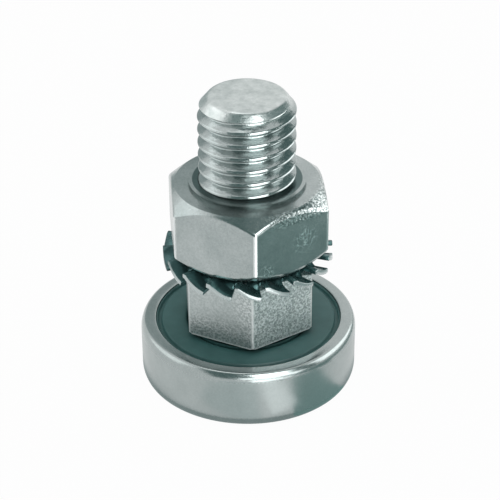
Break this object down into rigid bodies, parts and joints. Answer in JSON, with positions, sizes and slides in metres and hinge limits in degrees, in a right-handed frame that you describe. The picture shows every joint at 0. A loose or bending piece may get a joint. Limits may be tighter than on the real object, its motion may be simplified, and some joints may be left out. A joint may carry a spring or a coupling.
{
  "type": "sliding gate guide roller",
  "caption": "Guide roller for a sliding gate: sealed ball bearing on a threaded stud with hexagon shoulder, fan lock washer and nut.",
  "frame": {"origin": "on the stud's axis, in the plane on which the bearing stands", "axes": "+Z along the stud towards its threaded tip; one corner of the hexagon shoulder points to -Y"},
  "size_m": [0.032, 0.032, 0.0454],
  "materials": {
    "plated_steel": "bright zinc plated, satin",
    "washer_steel": "zinc plated spring steel",
    "ring_steel": "ground bearing steel, satin",
    "cage_steel": "pressed steel",
    "ball_steel": "polished",
    "seal_rubber": "matt"
  },
  "bodies": {
    "axle": {"stud": "plated_steel", "inner_ring": "ring_steel"},
    "roller": {"outer_ring": "ring_steel", "seal_upper": "seal_rubber", "seal_lower": "seal_rubber"},
    "cage": {"cage_upper": "cage_steel", "cage_lower": "cage_steel", "cage_rivets": "cage_steel"},
    "ball_1": {"ball_1": "ball_steel"},
    "ball_2": {"ball_2": "ball_steel"},
    "ball_3": {"ball_3": "ball_steel"},
    "ball_4": {"ball_4": "ball_steel"},
    "ball_5": {"ball_5": "ball_steel"},
    "ball_6": {"ball_6": "ball_steel"},
    "ball_7": {"ball_7": "ball_steel"},
    "ball_8": {"ball_8": "ball_steel"},
    "ball_9": {"ball_9": "ball_steel"},
    "fan_washer": {"lock_washer": "washer_steel"},
    "clamp_nut": {"nut": "plated_steel"}
  },
  "joints": [
    {"name": "roller_spin", "type": "hinge", "parent": "axle", "child": "roller", "pos_m": [0, 0, 0.0045], "axis": [0, 0, 1], "continuous": true},
    {"name": "cage_turn", "type": "hinge", "parent": "axle", "child": "cage", "pos_m": [0, 0, 0.0045], "axis": [0, 0, 1], "continuous": true},
    {"name": "ball_1_spin", "type": "hinge", "parent": "cage", "child": "ball_1", "pos_m": [0.01175, 0, 0.0045], "axis": [0, 0, 1], "continuous": true},
    {"name": "ball_2_spin", "type": "hinge", "parent": "cage", "child": "ball_2", "pos_m": [0.009, 0.00755, 0.0045], "axis": [0, 0, 1], "continuous": true},
    {"name": "ball_3_spin", "type": "hinge", "parent": "cage", "child": "ball_3", "pos_m": [0.00204, 0.01157, 0.0045], "axis": [0, 0, 1], "continuous": true},
    {"name": "ball_4_spin", "type": "hinge", "parent": "cage", "child": "ball_4", "pos_m": [-0.00588, 0.01018, 0.0045], "axis": [0, 0, 1], "continuous": true},
    {"name": "ball_5_spin", "type": "hinge", "parent": "cage", "child": "ball_5", "pos_m": [-0.01104, 0.00402, 0.0045], "axis": [0, 0, 1], "continuous": true},
    {"name": "ball_6_spin", "type": "hinge", "parent": "cage", "child": "ball_6", "pos_m": [-0.01104, -0.00402, 0.0045], "axis": [0, 0, 1], "continuous": true},
    {"name": "ball_7_spin", "type": "hinge", "parent": "cage", "child": "ball_7", "pos_m": [-0.00588, -0.01018, 0.0045], "axis": [0, 0, 1], "continuous": true},
    {"name": "ball_8_spin", "type": "hinge", "parent": "cage", "child": "ball_8", "pos_m": [0.00204, -0.01157, 0.0045], "axis": [0, 0, 1], "continuous": true},
    {"name": "ball_9_spin", "type": "hinge", "parent": "cage", "child": "ball_9", "pos_m": [0.009, -0.00755, 0.0045], "axis": [0, 0, 1], "continuous": true},
    {"name": "washer_slide", "type": "slide", "parent": "axle", "child": "fan_washer", "axis": [0, 0, 1], "range_m": [0, 0.01205]},
    {"name": "nut_turn", "type": "hinge", "parent": "fan_washer", "child": "clamp_nut", "pos_m": [0, 0, 0.0266], "axis": [0, 0, 1], "range_deg": [0, 2160]}
  ],
  "couplings": [
    {"joint": "cage_turn", "follows": "roller_spin", "ratio": 0.60128},
    {"joint": "ball_1_spin", "follows": "roller_spin", "ratio": 2.3672},
    {"joint": "ball_2_spin", "follows": "roller_spin", "ratio": 2.3672},
    {"joint": "ball_3_spin", "follows": "roller_spin", "ratio": 2.3672},
    {"joint": "ball_4_spin", "follows": "roller_spin", "ratio": 2.3672},
    {"joint": "ball_5_spin", "follows": "roller_spin", "ratio": 2.3672},
    {"joint": "ball_6_spin", "follows": "roller_spin", "ratio": 2.3672},
    {"joint": "ball_7_spin", "follows": "roller_spin", "ratio": 2.3672},
    {"joint": "ball_8_spin", "follows": "roller_spin", "ratio": 2.3672},
    {"joint": "ball_9_spin", "follows": "roller_spin", "ratio": 2.3672},
    {"joint": "washer_slide", "follows": "nut_turn", "m_per_rad": 0.00031831}
  ]
}
